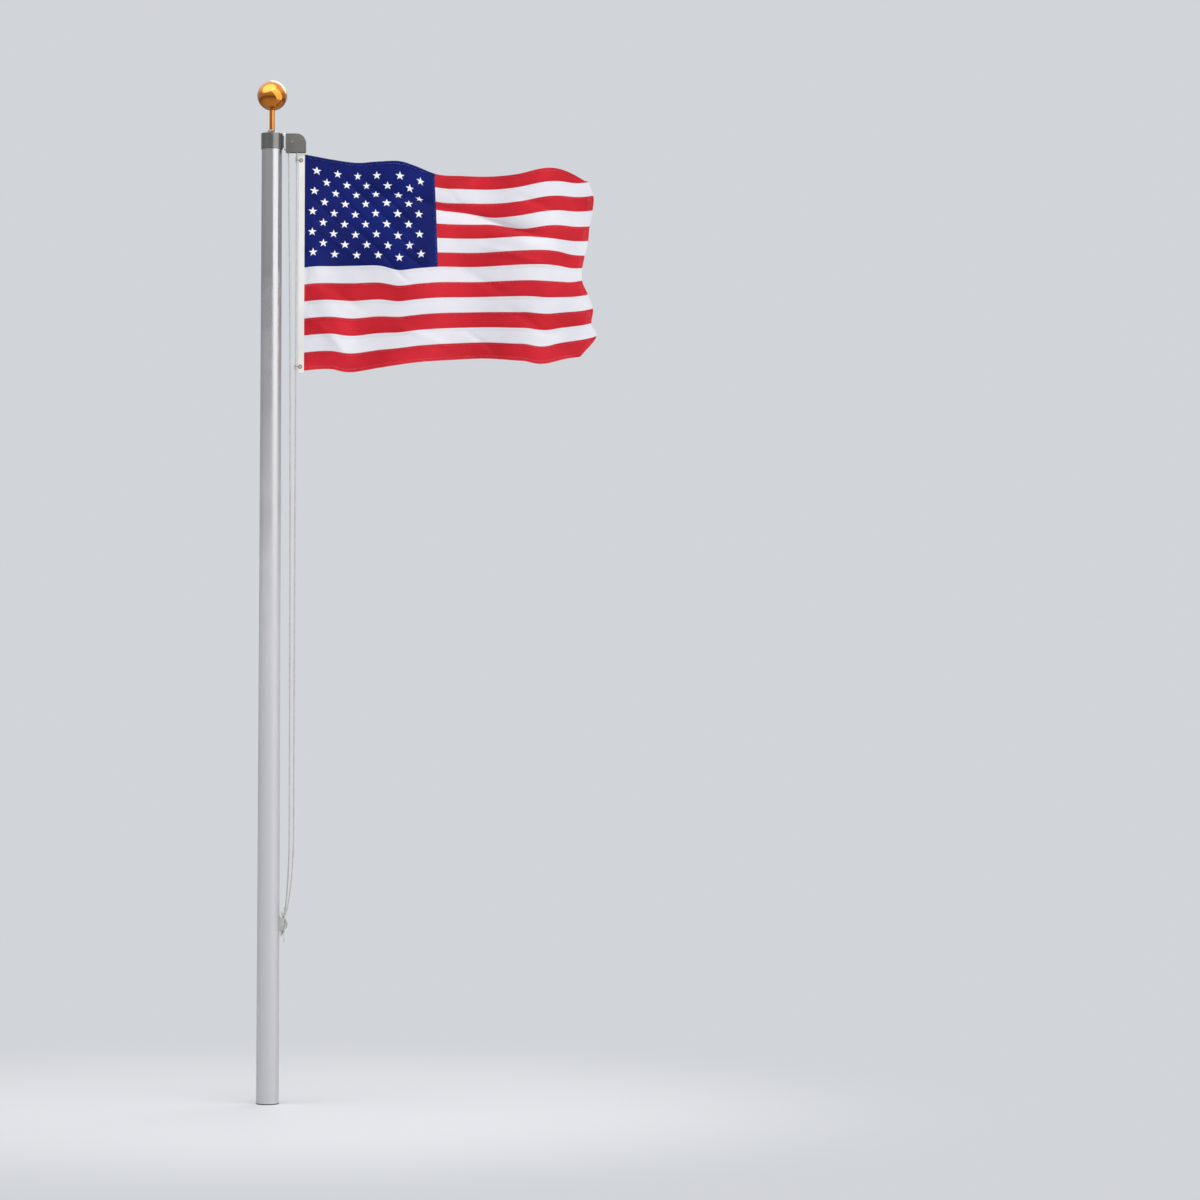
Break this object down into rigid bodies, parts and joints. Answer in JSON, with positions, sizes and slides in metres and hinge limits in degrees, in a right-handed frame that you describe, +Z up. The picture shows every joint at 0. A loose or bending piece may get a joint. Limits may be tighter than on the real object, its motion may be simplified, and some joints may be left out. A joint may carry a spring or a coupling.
{
  "type": "flagpole",
  "caption": "Tapered aluminium flagpole with ball finial, rope truck, cleated halyard loop and a sewn stars-and-stripes flag flying from it.",
  "frame": {"origin": "centre of the pole's foot face at ground level", "axes": "+Z up along the pole, +X from the pole towards the flying flag, -Y towards the viewer of the picture"},
  "size_m": [1.4227, 0.1935, 4.2805],
  "materials": {
    "satin_aluminium": "satin",
    "cast_aluminium": "satin",
    "hood_aluminium": "satin",
    "gold_anodised": "gloss",
    "axle_steel": "satin",
    "sheave_nylon": "satin",
    "foot_plastic": "matte",
    "halyard_rope": "matte",
    "header_canvas": "matte",
    "red_cloth": "satin",
    "white_cloth": "satin",
    "navy_cloth": "satin",
    "grommet_brass": "satin",
    "snap_steel": "satin",
    "screw_steel": "satin"
  },
  "bodies": {
    "mast": {"pole_shaft": "satin_aluminium", "foot_cap": "foot_plastic", "truck_cap": "cast_aluminium", "finial_stem": "gold_anodised", "finial_ball": "gold_anodised", "pulley_plate": "cast_aluminium", "front_cheek": "hood_aluminium", "back_cheek": "hood_aluminium", "hood_crown": "hood_aluminium", "sheave_axle": "axle_steel", "cleat": "cast_aluminium", "halyard": "halyard_rope", "upper_plate_screw": "screw_steel", "lower_plate_screw": "screw_steel", "upper_cleat_screw": "screw_steel", "lower_cleat_screw": "screw_steel"},
    "sheave": {"sheave": "sheave_nylon"},
    "hoist": {"upper_knot": "halyard_rope", "lower_knot": "halyard_rope"},
    "flag": {"flag_header": "header_canvas", "canton": "navy_cloth", "stripe_01": "red_cloth", "stripe_02": "white_cloth", "stripe_03": "red_cloth", "stripe_04": "white_cloth", "stripe_05": "red_cloth", "stripe_06": "white_cloth", "stripe_07": "red_cloth", "stripe_08": "white_cloth", "stripe_09": "red_cloth", "stripe_10": "white_cloth", "stripe_11": "red_cloth", "stripe_12": "white_cloth", "stripe_13": "red_cloth", "upper_grommet": "grommet_brass", "lower_grommet": "grommet_brass", "upper_snap": "snap_steel", "lower_snap": "snap_steel"}
  },
  "joints": [
    {"name": "sheave_spin", "type": "hinge", "parent": "mast", "child": "sheave", "pos_m": [0.0865, 0, 4.025], "axis": [0, 1, 0], "continuous": true},
    {"name": "flag_hoist", "type": "slide", "parent": "mast", "child": "hoist", "axis": [0, 0, 1], "range_m": [-1.95, 0]},
    {"name": "flag_swing", "type": "hinge", "parent": "hoist", "child": "flag", "pos_m": [0.104, 0, 3.5], "axis": [0, 0, 1], "range_deg": [-90, 90]}
  ]
}
